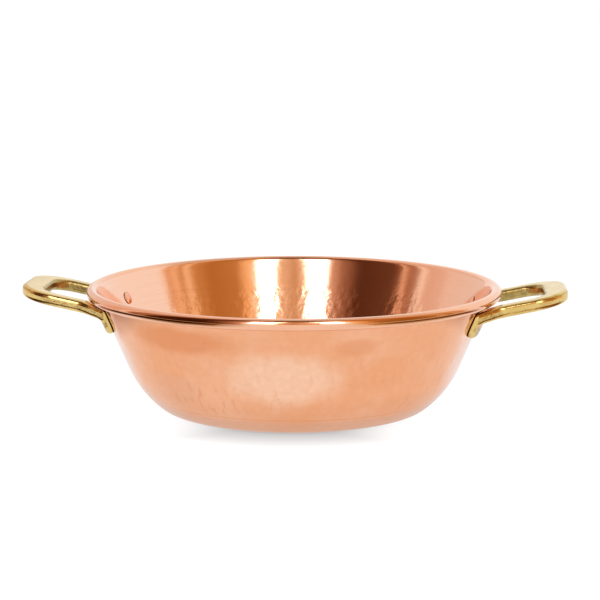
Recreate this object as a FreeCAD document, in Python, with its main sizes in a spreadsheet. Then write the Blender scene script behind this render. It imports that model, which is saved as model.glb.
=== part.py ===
"""Jam pan: one sheet of hammered copper with a rolled rim, two cast brass handles, four rivets.

Millimetres. The pan stands on Z = 0 with its axis on Z. The handles point along +X and -X.
A "lean" is an angle from the vertical, and a "drop" is a distance down the sloping wall
from the point where the outer face of the wall runs into the rolled rim.
"""
import FreeCAD, Part
import math
import os

import Sketcher

SHEET = "Sizes"

# Limits for picking edges: a length, and upward parts of a face's unit normal
TOUCHING = 0.001
STEEP = 0.85
SHALLOW = 0.2

# Driving sizes: name, value, what it is
DRIVING_SIZES = [
    ("rim_diameter", 300.0, "outside of the rolled rim"),
    ("pan_height", 88.5, "table to the top of the rim"),
    ("sheet_thickness", 1.5, "copper sheet"),
    ("bead_diameter", 8.0, "outside of the roll that the rim makes"),
    ("bead_gap", 0.3, "slot left between the edge of the roll and the wall"),
    ("wall_lean", 23.0, "lean of the straight part of the wall"),
    ("shoulder_radius", 70.0, "large bend under the straight wall"),
    ("shoulder_lean", 52.5, "lean where the large bend meets the base bend"),
    ("corner_radius", 12.0, "bend between the shoulder and the flat base"),
    ("handle_drop", 8.0, "rim top down to the arms' top, at the rim's edge"),
    ("handle_tilt", 11.8, "rise of the handle away from the pan"),
    ("handle_thickness", 8.5, "thickness of arms and grip"),
    ("finger_reach", 30.0, "rim's edge to the grip"),
    ("finger_width", 56.0, "clear width between the arms"),
    ("arm_width", 11.0, "width of an arm, seen from above"),
    ("grip_width", 16.5, "width of the grip, seen from above"),
    ("grip_outer_radius", 26.0, "outside corners of the grip, seen from above"),
    ("grip_inner_radius", 13.0, "inside corners of the grip, seen from above"),
    ("arm_bend_inset", 2.0, "where the arms turn towards the feet, in from the rim's edge"),
    ("arm_bend_radius", 16.0, "bends of an arm on its way to its foot"),
    ("soft_edge", 3.0, "rounding along arms, grip and feet"),
    ("foot_spread", 11.6, "middle of a foot, out from the middle of its arm"),
    ("foot_width", 17.0, "width of a foot along the wall"),
    ("foot_thickness", 4.5, "thickness of a foot"),
    ("foot_reach", 29.0, "drop of a foot's lower end"),
    ("foot_end_radius", 7.0, "rounding of a foot's lower corners"),
    ("foot_side_radius", 4.0, "rounding where a foot spreads from its arm"),
    ("root_radius", 3.5, "hollow bend from an arm's underside to its foot"),
    ("rivet_drop", 17.4, "drop of the rivets' line"),
    ("rivet_diameter", 5.0, "shank of a rivet"),
    ("rivet_clearance", 0.05, "between a shank and its hole, all round"),
    ("head_diameter", 9.5, "rivet head inside the pan"),
    ("head_height", 1.4, "rivet head inside the pan"),
    ("head_edge", 0.4, "upright rim of the rivet head"),
    ("sink_diameter", 7.5, "countersink in the foot's face"),
    ("sink_depth", 1.2, "countersink in the foot's face"),
]


class Size:
    """A number with the sheet expression that it comes from."""

    def __init__(self, value, text):
        self.value = value
        self.text = text

    def __float__(self):
        return float(self.value)

    def __add__(self, other):
        return Size(float(self) + float(other), f"({self.text} + {words(other)})")

    def __sub__(self, other):
        return Size(float(self) - float(other), f"({self.text} - {words(other)})")

    def __mul__(self, other):
        return Size(float(self) * float(other), f"({self.text} * {words(other)})")

    def __truediv__(self, other):
        return Size(float(self) / float(other), f"({self.text} / {words(other)})")

    def __rmul__(self, other):
        return Size(float(other) * float(self), f"({words(other)} * {self.text})")

    def __neg__(self):
        return Size(-float(self), f"(0 - {self.text})")


def words(size):
    """The expression text of a size, or of a plain number."""
    return size.text if isinstance(size, Size) else repr(float(size))


def sine(angle):
    return Size(math.sin(math.radians(float(angle))), f"sin({angle.text} * 1 deg)")


def cosine(angle):
    return Size(math.cos(math.radians(float(angle))), f"cos({angle.text} * 1 deg)")


def tangent(angle):
    return Size(math.tan(math.radians(float(angle))), f"tan({angle.text} * 1 deg)")


def arcsine(ratio):
    return Size(math.degrees(math.asin(float(ratio))), f"(asin({ratio.text}) / 1 deg)")


def foot_azimuth(s):
    """Angle at the pan's axis between the handle's own line and the middle of a foot."""
    across = (s["finger_width"] + s["arm_width"]) / 2 + s["foot_spread"]
    return arcsine(across / (s["rim_diameter"] / 2))


def make_sheet(doc):
    """Write the driving sizes to the sheet and return them by name."""
    sheet = doc.addObject("Spreadsheet::Sheet", SHEET)
    sizes = {}
    for row, (name, value, note) in enumerate(DRIVING_SIZES, start=1):
        sheet.set(f"A{row}", name)
        sheet.set(f"B{row}", str(value))
        sheet.set(f"C{row}", note)
        sheet.setAlias(f"B{row}", name)
        sizes[name] = Size(value, f"{SHEET}.{name}")
    doc.recompute()
    return sizes


def sketch_on(body, name, plane_role):
    """Start a sketch on one of the body's own origin planes."""
    sketch = body.newObject("Sketcher::SketchObject", name)
    plane = next(item for item in body.Origin.OriginFeatures if item.Role == plane_role)
    sketch.AttachmentSupport = [(plane, "")]
    sketch.MapMode = "FlatFace"
    return sketch


def flat_point(point):
    return FreeCAD.Vector(float(point[0]), float(point[1]), 0)


def dimension(sketch, kind, *ends_and_size):
    """Add a dimension that follows the sheet."""
    *ends, size = ends_and_size
    number = sketch.addConstraint(Sketcher.Constraint(kind, *ends, float(size)))
    sketch.setExpression(f"Constraints[{number}]", size.text)


def draw_outline(sketch, corners, dome=None):
    """Draw a closed outline, each corner held by its two coordinates.

    Its sides are straight, apart from the side numbered dome, an arc about a point of the H axis.
    """
    points = [flat_point(corner) for corner in corners]
    for number, (start, end) in enumerate(zip(points, points[1:] + points[:1])):
        if number == dome:
            reach = (start.x - end.x) / 2 + start.y ** 2 / (start.x - end.x) / 2
            centre = FreeCAD.Vector(end.x + reach, 0, 0)
            circle = Part.Circle(centre, FreeCAD.Vector(0, 0, 1), reach)
            bend = math.atan2(start.y, start.x - centre.x)
            sketch.addGeometry(Part.ArcOfCircle(circle, bend, math.pi), False)
            sketch.addConstraint(Sketcher.Constraint("PointOnObject", number, 3, -1))
        else:
            sketch.addGeometry(Part.LineSegment(start, end), False)
    for number, corner in enumerate(corners):
        before = (number - 1) % len(corners)
        sketch.addConstraint(Sketcher.Constraint("Coincident", before, 2, number, 1))
        for kind, axis, size in (("DistanceX", -2, corner[0]), ("DistanceY", -1, corner[1])):
            if isinstance(size, Size):
                dimension(sketch, kind, -1, 1, number, 1, size)
            else:
                sketch.addConstraint(Sketcher.Constraint("PointOnObject", number, 1, axis))


def turn(body, name, sketch, axis="V_Axis", kind="PartDesign::Revolution"):
    """Revolve a sketch about one of its own axes, to add it or to cut it away."""
    feature = body.newObject(kind, name)
    feature.Profile = sketch
    feature.ReferenceAxis = (sketch, [axis])
    feature.Angle = 360
    return feature


def round_edges(body, name, feature, edges, radius):
    """Fillet the named edges of the body's newest feature."""
    fillet = body.newObject("PartDesign::Fillet", name)
    fillet.Base = (feature, edges)
    fillet.setExpression("Radius", radius.text)
    body.Document.recompute()
    return fillet


class PanWall:
    """Where the straight wall lies, for the sheet itself and for all that seats on it."""

    def __init__(self, s):
        self.lean = s["wall_lean"]
        self.bead_outer = s["bead_diameter"] / 2
        self.bead_inner = self.bead_outer - s["sheet_thickness"]
        self.bead_radius = s["rim_diameter"] / 2 - self.bead_outer
        self.bead_height = s["pan_height"] - self.bead_outer
        self.top_radius = self.bead_radius - self.bead_inner * cosine(self.lean)
        self.top_height = self.bead_height + self.bead_inner * sine(self.lean)

    def point(self, drop, proud):
        """Radius and height at a drop down the wall and a distance proud of its outer face."""
        radius = self.top_radius - drop * sine(self.lean) + proud * cosine(self.lean)
        height = self.top_height - drop * cosine(self.lean) - proud * sine(self.lean)
        return radius, height

    def radius_at(self, height):
        """Radius of the outer face at a height, as a plain number."""
        slope = math.tan(math.radians(float(self.lean)))
        return float(self.top_radius) - (float(self.top_height) - height) * slope

    def seat(self, drop, azimuth):
        """Placement expression with X along the wall's outward normal at a point of the wall."""
        radius, height = self.point(drop, 0)
        across = radius * cosine(azimuth)
        along = radius * sine(azimuth)
        spot = f"vector({across.text}; {along.text}; {height.text})"
        return f"placement({spot}; rotation({azimuth.text}; {self.lean.text}; 0))"


def make_bowl_sheet(doc, s, wall):
    """The copper sheet before it is drilled: flat base, two bends, wall and rolled rim."""
    body = doc.addObject("PartDesign::Body", "bowl_sheet")
    sketch = sketch_on(body, "bowl_section", "XZ_Plane")

    lean = math.radians(float(s["wall_lean"]))
    shoulder_lean = math.radians(float(s["shoulder_lean"]))
    thickness = float(s["sheet_thickness"])
    shoulder = float(s["shoulder_radius"])
    corner = float(s["corner_radius"])
    inward = FreeCAD.Vector(-math.cos(lean), math.sin(lean), 0)
    down_wall = FreeCAD.Vector(-math.sin(lean), -math.cos(lean), 0)
    down_shoulder = FreeCAD.Vector(math.cos(shoulder_lean), -math.sin(shoulder_lean), 0)

    # First positions for the sketch: its constraints below hold the same form
    bead_centre = flat_point((wall.bead_radius, wall.bead_height))
    wall_top = bead_centre + inward * float(wall.bead_inner)
    shoulder_height = corner + (shoulder - corner) * math.sin(shoulder_lean)
    straight = (wall_top.y + shoulder * math.sin(lean) - shoulder_height) / math.cos(lean)
    wall_foot = wall_top + down_wall * straight
    shoulder_centre = wall_foot + inward * shoulder
    corner_centre = shoulder_centre + down_shoulder * (shoulder - corner)
    opening = math.acos((float(wall.bead_inner) - float(s["bead_gap"])) / float(wall.bead_outer))
    roll_start = math.pi - lean + opening - 2 * math.pi
    roll_end = math.pi - lean
    roll_edge = FreeCAD.Vector(math.cos(roll_start), math.sin(roll_start), 0)

    def arc(centre, radius, start, end):
        circle = Part.Circle(centre, FreeCAD.Vector(0, 0, 1), radius)
        return sketch.addGeometry(Part.ArcOfCircle(circle, start, end), False)

    def line(start, end):
        return sketch.addGeometry(Part.LineSegment(start, end), False)

    origin = FreeCAD.Vector(0, 0, 0)
    up = FreeCAD.Vector(0, thickness, 0)
    base_edge = FreeCAD.Vector(corner_centre.x, 0, 0)
    base_under = line(origin, base_edge)
    corner_under = arc(corner_centre, corner, -math.pi / 2, -shoulder_lean)
    shoulder_under = arc(shoulder_centre, shoulder, -shoulder_lean, -lean)
    wall_outside = line(wall_foot, wall_top)
    roll_inside = arc(bead_centre, float(wall.bead_inner), roll_start, roll_end)
    sheet_edge = line(bead_centre + roll_edge * float(wall.bead_inner),
                      bead_centre + roll_edge * float(wall.bead_outer))
    roll_outside = arc(bead_centre, float(wall.bead_outer), roll_start, roll_end)
    wall_inside = line(wall_top + inward * thickness, wall_foot + inward * thickness)
    shoulder_over = arc(shoulder_centre, shoulder - thickness, -shoulder_lean, -lean)
    corner_over = arc(corner_centre, corner - thickness, -math.pi / 2, -shoulder_lean)
    base_over = line(base_edge + up, up)
    axis_side = line(up, origin)

    start, end, centre = 1, 2, 3
    smooth_joints = [
        (base_under, end, corner_under, start), (corner_under, end, shoulder_under, start),
        (shoulder_under, end, wall_outside, start), (wall_outside, end, roll_inside, end),
        (roll_outside, end, wall_inside, start), (wall_inside, end, shoulder_over, end),
        (shoulder_over, start, corner_over, end), (corner_over, start, base_over, start),
    ]
    sharp_joints = [
        (roll_inside, start, sheet_edge, start), (sheet_edge, end, roll_outside, start),
        (base_over, end, axis_side, start), (axis_side, end, base_under, start),
        (base_under, start, -1, start),
        (shoulder_over, centre, shoulder_under, centre), (corner_over, centre, corner_under, centre),
        (roll_outside, centre, roll_inside, centre),
    ]
    for joint in smooth_joints:
        sketch.addConstraint(Sketcher.Constraint("Tangent", *joint))
    for joint in sharp_joints:
        sketch.addConstraint(Sketcher.Constraint("Coincident", *joint))
    sketch.addConstraint(Sketcher.Constraint("Horizontal", base_under))
    sketch.addConstraint(Sketcher.Constraint("Horizontal", base_over))
    sketch.addConstraint(Sketcher.Constraint("Vertical", axis_side))
    sketch.addConstraint(Sketcher.Constraint("PointOnObject", roll_inside, centre, sheet_edge))

    dimension(sketch, "Radius", corner_under, s["corner_radius"])
    dimension(sketch, "Radius", shoulder_under, s["shoulder_radius"])
    dimension(sketch, "Radius", roll_outside, wall.bead_outer)
    dimension(sketch, "Radius", roll_inside, wall.bead_inner)
    shoulder_rise = (s["shoulder_radius"] - s["corner_radius"]) * sine(s["shoulder_lean"])
    dimension(sketch, "DistanceY", corner_under, centre, shoulder_under, centre, shoulder_rise)
    dimension(sketch, "DistanceY", axis_side, end, axis_side, start, s["sheet_thickness"])
    dimension(sketch, "DistanceX", -1, start, roll_outside, centre, wall.bead_radius)
    dimension(sketch, "DistanceY", -1, start, roll_outside, centre, wall.bead_height)
    dimension(sketch, "Distance", roll_outside, start, wall_outside, s["bead_gap"])
    wall_angle = Size(math.pi / 2 - lean, f"(90 - {s['wall_lean'].text}) * 1 deg")
    dimension(sketch, "Angle", -1, start, wall_outside, start, wall_angle)
    doc.recompute()
    turn(body, "bowl_turned", sketch)
    return body


def make_drill(doc, s, wall, name, azimuth):
    """The space of one rivet hole: round through sheet and foot, and sunk at its outer end."""
    body = doc.addObject("PartDesign::Body", name)
    sketch = sketch_on(body, name + "_section", "XY_Plane")
    hole = s["rivet_diameter"] / 2 + s["rivet_clearance"]
    sink = s["sink_diameter"] / 2 + s["rivet_clearance"]
    inner_end = -s["sheet_thickness"] * 2
    face = s["foot_thickness"]
    outer_end = face + s["sheet_thickness"]
    draw_outline(sketch, [
        (inner_end, 0), (inner_end, hole), (face - s["sink_depth"], hole), (face, sink),
        (outer_end, sink), (outer_end, 0),
    ])
    turn(body, name + "_turned", sketch, "H_Axis")
    body.setExpression("Placement", wall.seat(s["rivet_drop"], azimuth))
    return body


def make_rivet_blank(doc, s, wall, name, azimuth):
    """A rivet: low domed head inside the pan, shank, and a flush end that fills the countersink."""
    body = doc.addObject("PartDesign::Body", name)
    sketch = sketch_on(body, name + "_section", "XY_Plane")
    shank = s["rivet_diameter"] / 2
    sink = s["sink_diameter"] / 2
    head = s["head_diameter"] / 2
    seat = -s["sheet_thickness"]
    face = s["foot_thickness"]
    draw_outline(sketch, [
        (seat - s["head_edge"], head), (seat - s["head_height"], 0), (face, 0), (face, sink),
        (face - s["sink_depth"], shank), (seat, shank), (seat, head),
    ], dome=0)
    turn(body, name + "_turned", sketch, "H_Axis")
    body.setExpression("Placement", wall.seat(s["rivet_drop"], azimuth))
    return body


def upright_edges(shape, spots):
    """Names of the upright edges at these places of the plan and at their mirror images."""
    names = []
    for number, edge in enumerate(shape.Edges, start=1):
        first, last = edge.Vertexes[0].Point, edge.Vertexes[-1].Point
        upright = abs(first.x - last.x) < TOUCHING and abs(first.y - last.y) < TOUCHING
        if upright and any(math.dist((first.x, abs(first.y)), spot) < TOUCHING for spot in spots):
            names.append(f"Edge{number}")
    return names


def make_plan(doc, s, wall):
    """The handle's outline seen from above, as an upright prism: grip, two arms, two feet."""
    body = doc.addObject("PartDesign::Body", "handle_plan")
    sketch = sketch_on(body, "handle_plan_half", "XY_Plane")
    rim = s["rim_diameter"] / 2
    grip = rim + s["finger_reach"]
    tip = grip + s["grip_width"]
    inside = s["finger_width"] / 2
    outside = inside + s["arm_width"]
    bend = rim - s["arm_bend_inset"]
    foot_back = rim - s["foot_reach"]
    foot_front = wall.point(s["rivet_drop"], s["foot_thickness"])[0]

    def on_foot(radius, across):
        angle = foot_azimuth(s)
        along = radius * cosine(angle) - across * sine(angle)
        aside = radius * sine(angle) + across * cosine(angle)
        return along, aside

    half_foot = s["foot_width"] / 2
    far_corner = on_foot(foot_front, half_foot)
    near_corner = on_foot(foot_front, -half_foot)
    draw_outline(sketch, [
        (tip, 0), (tip, outside), (bend, outside), far_corner, on_foot(foot_back, half_foot),
        on_foot(foot_back, -half_foot), near_corner, (bend, inside), (grip, inside), (grip, 0),
    ])
    half = body.newObject("PartDesign::Pad", "handle_plan_pad")
    half.Profile = sketch
    half.setExpression("Length", (s["pan_height"] + s["finger_reach"]).text)
    doc.recompute()
    whole = body.newObject("PartDesign::Mirrored", "handle_plan_whole")
    whole.Originals = [half]
    whole.MirrorPlane = (sketch, ["H_Axis"])
    body.Tip = whole
    doc.recompute()
    newest = whole
    rounded = [
        ("grip_outer_corners", [(tip, outside)], s["grip_outer_radius"]),
        ("grip_inner_corners", [(grip, inside)], s["grip_inner_radius"]),
        ("arm_bends", [(bend, outside), (bend, inside)], s["arm_bend_radius"]),
        ("foot_sides", [far_corner, near_corner], s["foot_side_radius"]),
    ]
    for name, corners, radius in rounded:
        spots = [(float(along), float(aside)) for along, aside in corners]
        newest = round_edges(body, name, newest, upright_edges(newest.Shape, spots), radius)
    return body


def root_edges(shape, wall, s, arm_under):
    """Names of the edges where the arms' underside meets the outer face of the feet."""
    names = []
    for number, edge in enumerate(shape.Edges, start=1):
        middle = edge.valueAt((edge.FirstParameter + edge.LastParameter) / 2)
        under_arm = abs(middle.z - arm_under(middle.x)) < TOUCHING
        foot_face = wall.radius_at(middle.z) + float(s["foot_thickness"] / cosine(wall.lean))
        if under_arm and abs(math.hypot(middle.x, middle.y) - foot_face) < TOUCHING:
            names.append(f"Edge{number}")
    return names


def faces_top(rise, reach):
    return rise > STEEP


def faces_end(rise, reach):
    return rise < -STEEP and reach < 0


def faces_aside(rise, reach):
    return abs(rise) < TOUCHING


def faces_under(rise, reach):
    """True on an arm's underside, on the hollow bend below it and on a foot's outer face."""
    return rise < -SHALLOW and reach > 0


def edges_between(shape, wall, first, second):
    """Names of the edges outside the pan's wall that part a face of one kind from another.

    A kind is a test of a face's outward normal: its upward part, and its part away from the axis.
    """
    names = []
    for number, edge in enumerate(shape.Edges, start=1):
        spot = edge.valueAt((edge.FirstParameter + edge.LastParameter) / 2)
        reach = math.hypot(spot.x, spot.y)
        if reach < wall.radius_at(spot.z):
            continue
        outward = FreeCAD.Vector(spot.x / reach, spot.y / reach, 0)
        parts = []
        for face in shape.ancestorsOfType(edge, Part.Face):
            normal = face.normalAt(*face.Surface.parameter(spot))
            parts.append((normal.z, normal.dot(outward)))
        one, other = parts
        if first(*one) and second(*other) or first(*other) and second(*one):
            names.append(f"Edge{number}")
    return names


def make_handle_cast(doc, s, wall, plan):
    """One handle before drilling, at its place on the +X side: a tilted loop on two feet."""
    body = doc.addObject("PartDesign::Body", "handle_cast")
    rim = s["rim_diameter"] / 2
    inner_end = rim - s["foot_reach"]
    outer_end = rim + s["finger_reach"] + s["grip_width"] * 2
    rise = tangent(s["handle_tilt"])
    depth = s["handle_thickness"] / cosine(s["handle_tilt"])
    top_at_rim = s["pan_height"] - s["handle_drop"]

    def arm_top(along):
        return top_at_rim + (along - rim) * rise

    side = sketch_on(body, "handle_side", "XZ_Plane")
    draw_outline(side, [
        (inner_end, arm_top(inner_end)), (outer_end, arm_top(outer_end)),
        (outer_end, arm_top(outer_end) - depth), (inner_end, arm_top(inner_end) - depth),
    ])
    loop = body.newObject("PartDesign::Pad", "handle_slab")
    loop.Profile = side
    loop.SideType = "Symmetric"
    loop.setExpression("Length", (s["finger_width"] + s["arm_width"] * 2 + s["foot_width"] * 2).text)

    arm_middle = top_at_rim + (wall.top_radius - rim) * rise - depth / 2
    foot_top = (wall.top_height - arm_middle) / cosine(wall.lean)
    inside_wall = -s["sheet_thickness"]
    foot = sketch_on(body, "foot_section", "XZ_Plane")
    draw_outline(foot, [
        wall.point(foot_top, inside_wall), wall.point(foot_top, s["foot_thickness"]),
        wall.point(s["foot_reach"], s["foot_thickness"]), wall.point(s["foot_reach"], inside_wall),
    ])
    feet = turn(body, "feet_ring", foot)
    feet.Midplane = True
    feet.setExpression("Angle", (foot_azimuth(s) * 4).text)
    doc.recompute()

    under_at_rim = top_at_rim - depth

    def arm_under(along):
        return float(under_at_rim) + (along - float(rim)) * float(rise)

    edges = root_edges(feet.Shape, wall, s, arm_under)
    roots = round_edges(body, "foot_roots", feet, edges, s["root_radius"])

    trimmed = body.newObject("PartDesign::Boolean", "handle_outline")
    trimmed.Type = "Common"
    trimmed.setObjects([plan])
    doc.recompute()

    edges = edges_between(trimmed.Shape, wall, faces_end, faces_aside)
    ends = round_edges(body, "foot_ends", trimmed, edges, s["foot_end_radius"])
    edges = edges_between(ends.Shape, wall, faces_top, faces_aside)
    edges += edges_between(ends.Shape, wall, faces_under, lambda *parts: not faces_under(*parts))
    round_edges(body, "softened", ends, edges, s["soft_edge"])

    seat = sketch_on(body, "wall_space", "XZ_Plane")
    below = s["foot_reach"] + s["foot_end_radius"]
    low_radius, low_height = wall.point(below, 0)
    draw_outline(seat, [
        (0, low_height), (low_radius, low_height), (wall.top_radius, wall.top_height),
        (0, wall.top_height),
    ])
    turn(body, "wall_seat", seat, kind="PartDesign::Groove")
    doc.recompute()
    return body


def drilled(doc, name, solid, drills):
    """A sub-part: the solid with its rivet holes."""
    holes = doc.addObject("Part::Compound", name + "_holes")
    holes.Links = drills
    part = doc.addObject("Part::Cut", name)
    part.Base = solid
    part.Tool = holes
    part.Label = name
    return part


def check(doc, parts):
    """Stop before anything is written if an object failed or a sub-part isn't one sound solid."""
    for item in doc.Objects:
        if "Invalid" in item.State or "Error" in item.State:
            raise RuntimeError(f"{item.Name} failed: {item.State}")
    for part in parts:
        shape = part.Shape
        if shape.isNull() or not shape.isValid() or len(shape.Solids) != 1:
            raise RuntimeError(f"{part.Label} isn't one valid solid")


def main():
    doc = FreeCAD.newDocument("JamPan")
    s = make_sheet(doc)
    wall = PanWall(s)
    half_turn = FreeCAD.Rotation(FreeCAD.Vector(0, 0, 1), 180)

    cast = make_handle_cast(doc, s, wall, make_plan(doc, s, wall))
    other_cast = doc.addObject("App::Link", "other_cast")
    other_cast.LinkedObject = cast
    other_cast.Placement = FreeCAD.Placement(FreeCAD.Vector(0, 0, 0), half_turn)

    aside = foot_azimuth(s)
    straight = Size(180, "180")
    azimuths = {
        "right_near": -aside, "right_far": aside,
        "left_near": straight + aside, "left_far": straight - aside,
    }
    drills = {place: make_drill(doc, s, wall, "drill_" + place, azimuth)
              for place, azimuth in azimuths.items()}

    bowl = drilled(doc, "bowl", make_bowl_sheet(doc, s, wall), list(drills.values()))
    parts = [bowl]
    for side, solid in (("right", cast), ("left", other_cast)):
        own = [drill for place, drill in drills.items() if place.startswith(side)]
        parts.append(drilled(doc, "handle_" + side, solid, own))
    for place, azimuth in azimuths.items():
        rivet = doc.addObject("Part::Cut", "rivet_" + place)
        rivet.Base = make_rivet_blank(doc, s, wall, "rivet_blank_" + place, azimuth)
        rivet.Tool = bowl
        rivet.Label = "rivet_" + place
        parts.append(rivet)

    doc.recompute()
    check(doc, parts)
    os.makedirs("parts", exist_ok=True)
    for part in parts:
        part.Shape.exportStep(os.path.join("parts", part.Label + ".step"))
        print(part.Label, round(part.Shape.Volume, 1), part.Shape.optimalBoundingBox())


main()
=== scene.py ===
# %% [markdown]
# # A copper jam pan with brass handles
#
# The pan has seven pieces: one sheet of copper that is spun, hammered and rolled over at its rim,
# two cast brass handles, and four copper rivets that hold the handles on.
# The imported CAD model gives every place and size. This script dresses it: it makes the hammered
# surface, the polish and the light in which the pan stands.

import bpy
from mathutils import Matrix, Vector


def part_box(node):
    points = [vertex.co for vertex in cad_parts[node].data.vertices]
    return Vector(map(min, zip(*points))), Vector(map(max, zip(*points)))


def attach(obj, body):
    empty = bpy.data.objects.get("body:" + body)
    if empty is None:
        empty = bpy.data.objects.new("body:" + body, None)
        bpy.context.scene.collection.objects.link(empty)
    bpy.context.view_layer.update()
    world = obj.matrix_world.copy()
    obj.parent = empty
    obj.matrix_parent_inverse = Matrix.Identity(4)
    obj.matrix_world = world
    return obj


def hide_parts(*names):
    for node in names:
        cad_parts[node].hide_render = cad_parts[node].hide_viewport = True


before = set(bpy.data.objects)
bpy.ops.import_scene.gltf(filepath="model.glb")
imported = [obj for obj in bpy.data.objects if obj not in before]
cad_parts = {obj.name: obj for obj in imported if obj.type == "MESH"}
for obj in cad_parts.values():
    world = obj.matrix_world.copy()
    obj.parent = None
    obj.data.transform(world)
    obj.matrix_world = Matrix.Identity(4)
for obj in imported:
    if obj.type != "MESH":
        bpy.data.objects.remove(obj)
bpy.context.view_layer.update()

# %% Imports and small units
import math

import bpy
from mathutils import Vector

MM = 0.001


def turned(azimuth, radius, height):
    """A point round the pan's axis. Azimuth 0 faces the camera side, and +90 is to the right."""
    angle = math.radians(azimuth)
    return Vector((radius * math.sin(angle), -radius * math.cos(angle), height))


def in_scene(name, data):
    """Make an object of some data and put it in the scene."""
    thing = bpy.data.objects.new(name, data)
    bpy.context.collection.objects.link(thing)
    return thing


# %% [markdown]
# ## The camera
#
# The photograph is taken from 1.3 metres with a long lens, about nine degrees above the rim.
# In the picture the near edge of the rim is nearly as wide as the far edge, which is how a
# long lens looks. A short lens close to the pan would show more of the inside and bend the rim.
# The rim's ellipse fixed the distance and the height, and the handles' slant fixed the turn.

# %% Camera
rim_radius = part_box("bowl")[1][0]
pan_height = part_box("bowl")[1][2]
bead_radius = 4.0 * MM
rim_centre = Vector((0, 0, pan_height - bead_radius))

camera_distance = 1.300
camera_azimuth = 4.3
camera_elevation = 9.1
look_down = 9.44
look_right = 0.19
lens = 107.3

level = math.radians(camera_elevation)
camera_spot = turned(camera_azimuth, camera_distance * math.cos(level), 0)
camera_spot += rim_centre + Vector((0, 0, camera_distance * math.sin(level)))
camera_data = bpy.data.cameras.new("camera")
camera_data.lens = lens
camera = in_scene("camera", camera_data)
camera.location = camera_spot
camera.rotation_euler = (math.radians(90 - look_down), 0, math.radians(camera_azimuth - look_right))
bpy.context.scene.camera = camera
bpy.context.scene.view_settings.view_transform = "Standard"
print("camera at", [round(value, 3) for value in camera_spot])

# %% [markdown]
# ## Helpers for node trees
#
# Materials and Geometry Nodes are both graphs. One helper adds a node, sets it up and feeds its
# inputs, from a plain value or from another node's output. That keeps each graph to a few
# readable lines, in the order in which the values flow.

# %% Node helpers
def feed(tree, node, inputs):
    """Feed a node's inputs, each from a plain value or from another node's output."""
    for key, value in inputs.items():
        if isinstance(value, bpy.types.NodeSocket):
            tree.links.new(value, node.inputs[key])
        else:
            node.inputs[key].default_value = value


def add(tree, kind, inputs=None, **settings):
    """Add a node. Settings come first, because they decide which inputs the node has."""
    node = tree.nodes.new(kind)
    for name, value in settings.items():
        setattr(node, name, value)
    feed(tree, node, inputs or {})
    return node


def calc(tree, operation, first, second=0.0, third=0.0):
    """One step of arithmetic, as a Math node."""
    return add(tree, "ShaderNodeMath", {0: first, 1: second, 2: third}, operation=operation).outputs[0]


def plus(tree, first, second):
    return calc(tree, "ADD", first, second)


def minus(tree, first, second):
    return calc(tree, "SUBTRACT", first, second)


def times(tree, first, second):
    return calc(tree, "MULTIPLY", first, second)


def remap(tree, value, low, high, to_low=0.0, to_high=1.0, kind="SMOOTHSTEP"):
    """Slide a value from one range into another, held at its ends."""
    inputs = {"Value": value, "From Min": low, "From Max": high, "To Min": to_low, "To Max": to_high}
    return add(tree, "ShaderNodeMapRange", inputs, interpolation_type=kind).outputs["Result"]


def falls(tree, value, full, none):
    """A mask that is 1 where a value is at most full, and 0 where it is at least none."""
    return remap(tree, value, full, none, 1.0, 0.0)


def close_to(tree, value, middle, full, none):
    """A mask that falls with the distance between a value and a middle one."""
    return falls(tree, calc(tree, "ABSOLUTE", minus(tree, value, middle)), full, none)


def blend(tree, factor, first, second):
    """Mix two colours."""
    return add(tree, "ShaderNodeMix", {0: factor, 6: first, 7: second}, data_type="RGBA").outputs[2]


def xyz(tree, vector):
    """The three parts of a vector, to be taken by their letters."""
    return add(tree, "ShaderNodeSeparateXYZ", {0: vector}).outputs


def length(tree, vector):
    return add(tree, "ShaderNodeVectorMath", {0: vector}, operation="LENGTH").outputs["Value"]


def noise(tree, spot, scale, detail, roughness=0.5):
    inputs = {"Vector": spot, "Scale": scale, "Detail": detail, "Roughness": roughness}
    return add(tree, "ShaderNodeTexNoise", inputs).outputs["Fac"]


def carry(mesh, name, kind, values):
    """Give each point of a mesh a value of its own."""
    field = "vector" if kind == "FLOAT_VECTOR" else "value"
    mesh.attributes.new(name, kind, "POINT").data.foreach_set(field, values)


def own_value(tree, name):
    """What a mesh carries at each point, for its material."""
    return add(tree, "ShaderNodeAttribute", attribute_name=name).outputs["Fac"]


def new_material(name):
    """Start a material. Returns it with its tree and its shader."""
    material = bpy.data.materials.new(name)
    material.use_nodes = True
    return material, material.node_tree, material.node_tree.nodes["Principled BSDF"]


def new_group(name, kind, inputs, outputs):
    """Start a node group. Each socket has a label and a kind, or a first value that tells its kind.

    Returns the tree, the values that it takes and the node for its results.
    """
    tree = bpy.data.node_groups.new(name, kind)
    for side, sockets in (("INPUT", inputs), ("OUTPUT", outputs)):
        for label, start in sockets.items():
            socket_kind = {int: "Int", float: "Float"}.get(type(start), start)
            socket = tree.interface.new_socket(label, in_out=side, socket_type="NodeSocket" + socket_kind)
            if start != socket_kind:
                socket.default_value = start
    return tree, tree.nodes.new("NodeGroupInput").outputs, tree.nodes.new("NodeGroupOutput")


def use_group(tree, group, inputs):
    """Place a node group in another tree. Returns what it gives out."""
    kind = "GeometryNodeGroup" if group.bl_idname == "GeometryNodeTree" else "ShaderNodeGroup"
    return add(tree, kind, inputs, node_tree=group).outputs


# %% [markdown]
# ## The floor
#
# The pan stands on a white surface without an edge. A white wall and floor could be lit until they
# glow, but that much light would wash out the copper. Instead the floor is a matt, dark surface
# that adds a brightness of its own, only for what the camera or a mirror sees, so the light that
# reaches the pan stays the same.
# The contact shadow comes from Ambient Occlusion, which tells how open the space over a point of
# the floor is. Where the pan stands close over the floor, the added brightness falls.

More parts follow.
